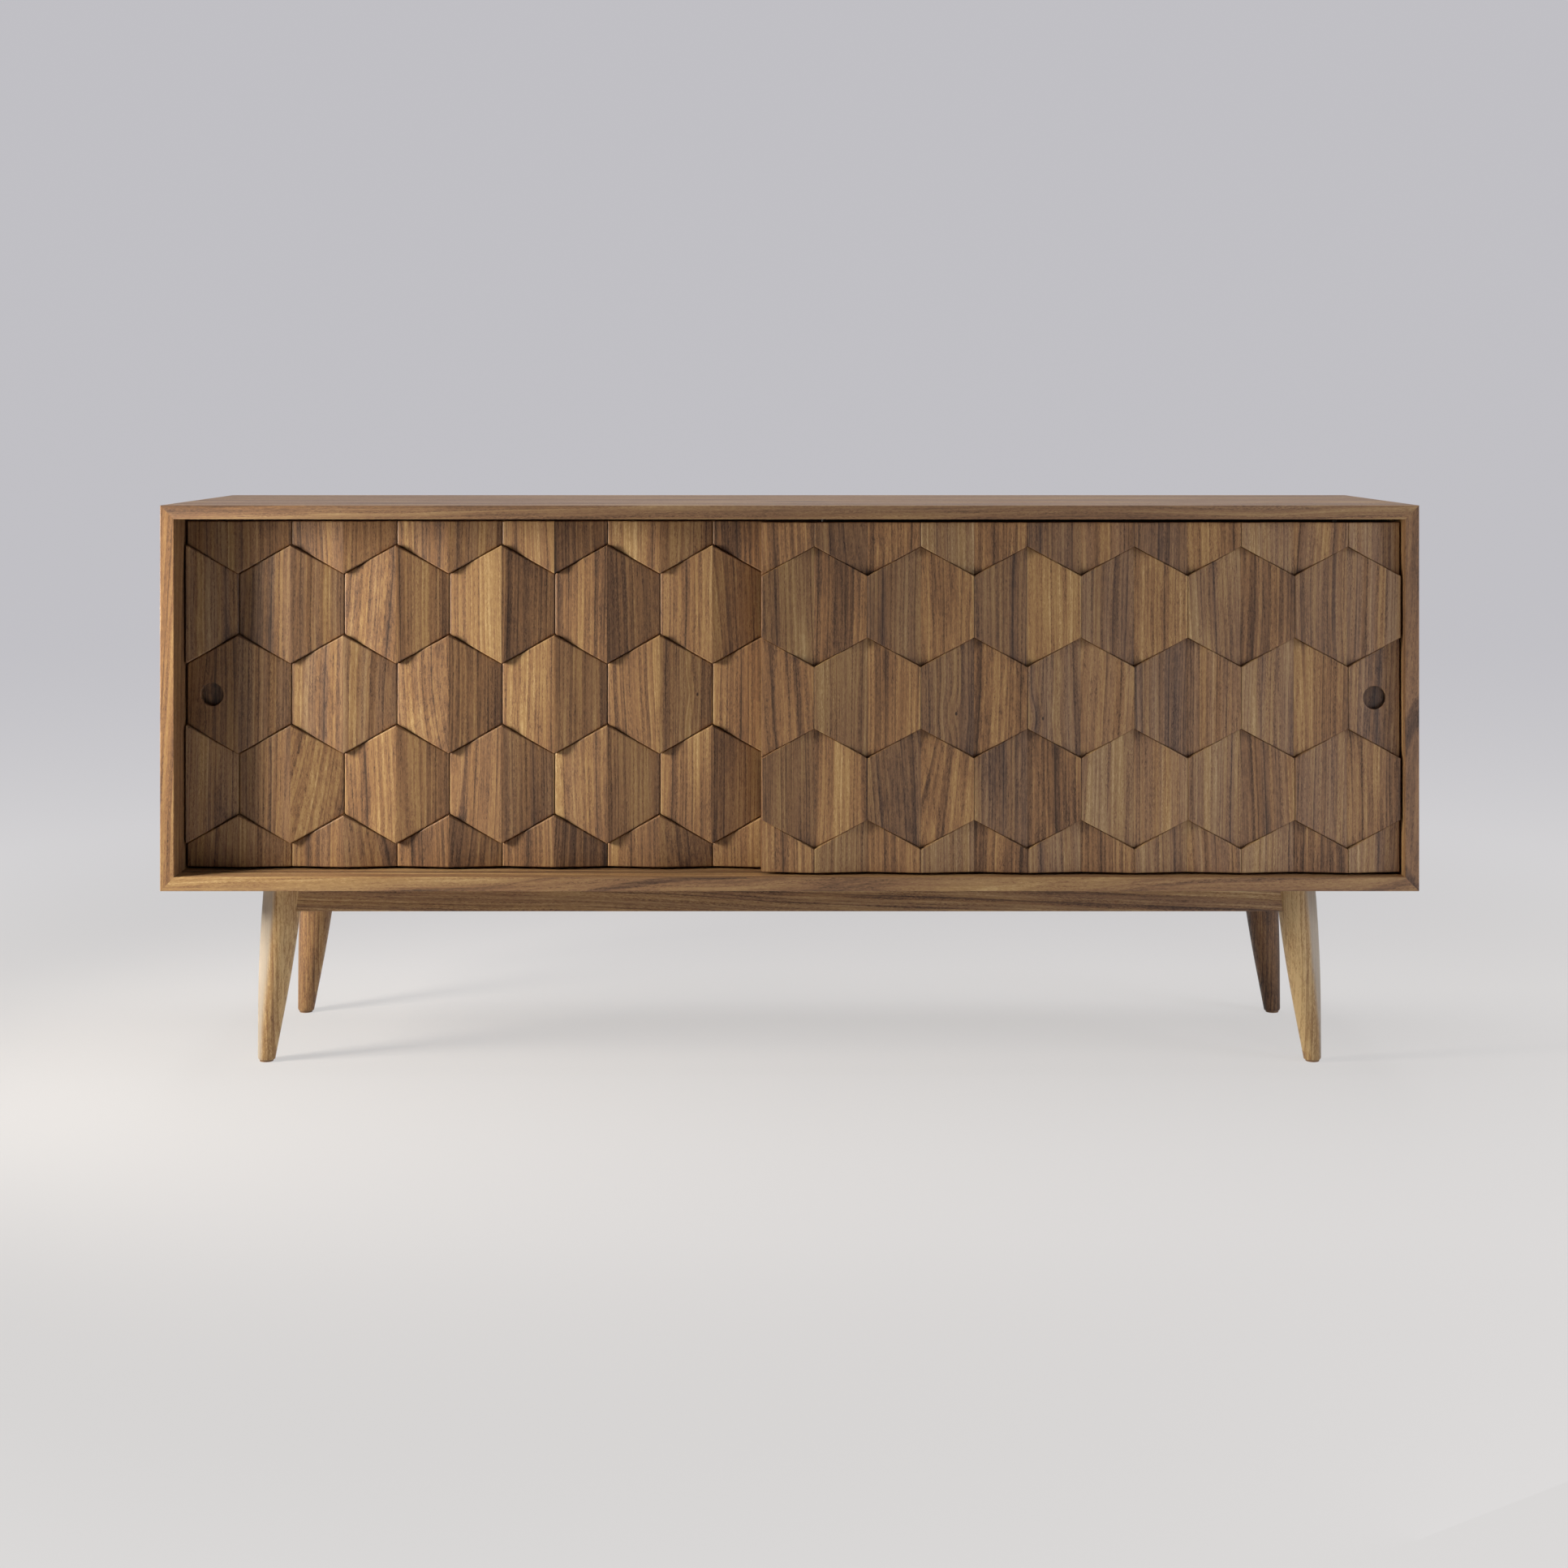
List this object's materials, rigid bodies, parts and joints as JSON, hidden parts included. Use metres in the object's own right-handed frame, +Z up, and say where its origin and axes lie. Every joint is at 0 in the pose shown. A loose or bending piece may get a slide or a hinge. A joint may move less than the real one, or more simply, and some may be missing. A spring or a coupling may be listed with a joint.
{
  "type": "sideboard",
  "caption": "Long low walnut sideboard on splayed turned legs, with a mitred case and bypass sliding doors faced in folded hexagon tiles.",
  "frame": {"origin": "on the floor under the middle of the case", "axes": "+X to the right as seen from the front, +Y to the back, +Z up"},
  "size_m": [1.8, 0.45, 0.8155],
  "materials": {
    "case_walnut": "satin oiled",
    "tile_walnut": "satin oiled",
    "frame_walnut": "satin oiled",
    "inside_walnut": "satin",
    "door_veneer": "satin",
    "back_veneer": "matt",
    "joinery_beech": "raw",
    "track_metal": "bronze powder coat",
    "screw_steel": "plated",
    "pin_brass": "satin",
    "roller_nylon": "moulded",
    "housing_plastic": "moulded",
    "glide_plastic": "moulded"
  },
  "bodies": {
    "root": {"top_panel": "case_walnut", "bottom_panel": "case_walnut", "left_side_panel": "case_walnut", "right_side_panel": "case_walnut", "back_panel": "back_veneer", "back_panel_screws": "screw_steel", "mitre_splines": "joinery_beech", "centre_divider": "inside_walnut", "divider_dowels": "joinery_beech", "left_shelf": "inside_walnut", "right_shelf": "inside_walnut", "shelf_pins": "pin_brass", "front_bottom_track": "track_metal", "rear_bottom_track": "track_metal", "front_top_track": "track_metal", "rear_top_track": "track_metal", "front_rail": "frame_walnut", "rear_rail": "frame_walnut", "left_rail": "frame_walnut", "right_rail": "frame_walnut", "frame_screws": "screw_steel", "front_left_leg": "frame_walnut", "front_right_leg": "frame_walnut", "rear_left_leg": "frame_walnut", "rear_right_leg": "frame_walnut", "floor_glides": "glide_plastic"},
    "left_door": {"left_door_core": "door_veneer", "left_door_roller_housings": "housing_plastic", "left_door_roller_axles": "screw_steel", "left_door_top_guides": "roller_nylon", "left_door_tile_row_1": "tile_walnut", "left_door_tile_row_2": "tile_walnut", "left_door_tile_row_3": "tile_walnut", "left_door_tile_row_4": "tile_walnut", "left_door_tile_row_5": "tile_walnut"},
    "left_door_left_wheel": {"left_door_left_wheel": "roller_nylon"},
    "left_door_right_wheel": {"left_door_right_wheel": "roller_nylon"},
    "right_door": {"right_door_core": "door_veneer", "right_door_roller_housings": "housing_plastic", "right_door_roller_axles": "screw_steel", "right_door_top_guides": "roller_nylon", "right_door_tile_row_1": "tile_walnut", "right_door_tile_row_2": "tile_walnut", "right_door_tile_row_3": "tile_walnut", "right_door_tile_row_4": "tile_walnut", "right_door_tile_row_5": "tile_walnut"},
    "right_door_left_wheel": {"right_door_left_wheel": "roller_nylon"},
    "right_door_right_wheel": {"right_door_right_wheel": "roller_nylon"}
  },
  "joints": [
    {"name": "left_door_slide", "type": "slide", "parent": "root", "child": "left_door", "axis": [1, 0, 0], "range_m": [0, 0.8368]},
    {"name": "left_door_left_wheel_turn", "type": "hinge", "parent": "left_door", "child": "left_door_left_wheel", "pos_m": [-0.788, -0.1425, 0.2905], "axis": [0, 1, 0], "range_deg": [0, 3690]},
    {"name": "left_door_right_wheel_turn", "type": "hinge", "parent": "left_door", "child": "left_door_right_wheel", "pos_m": [-0.0488, -0.1425, 0.2905], "axis": [0, 1, 0], "range_deg": [0, 3690]},
    {"name": "right_door_slide", "type": "slide", "parent": "root", "child": "right_door", "axis": [-1, 0, 0], "range_m": [0, 0.8368]},
    {"name": "right_door_left_wheel_turn", "type": "hinge", "parent": "right_door", "child": "right_door_left_wheel", "pos_m": [0.0488, -0.185, 0.2905], "axis": [0, -1, 0], "range_deg": [0, 3690]},
    {"name": "right_door_right_wheel_turn", "type": "hinge", "parent": "right_door", "child": "right_door_right_wheel", "pos_m": [0.788, -0.185, 0.2905], "axis": [0, -1, 0], "range_deg": [0, 3690]}
  ],
  "couplings": [
    {"joint": "left_door_left_wheel_turn", "follows": "left_door_slide", "rad_per_m": 76.923},
    {"joint": "left_door_right_wheel_turn", "follows": "left_door_slide", "rad_per_m": 76.923},
    {"joint": "right_door_left_wheel_turn", "follows": "right_door_slide", "rad_per_m": 76.923},
    {"joint": "right_door_right_wheel_turn", "follows": "right_door_slide", "rad_per_m": 76.923}
  ]
}
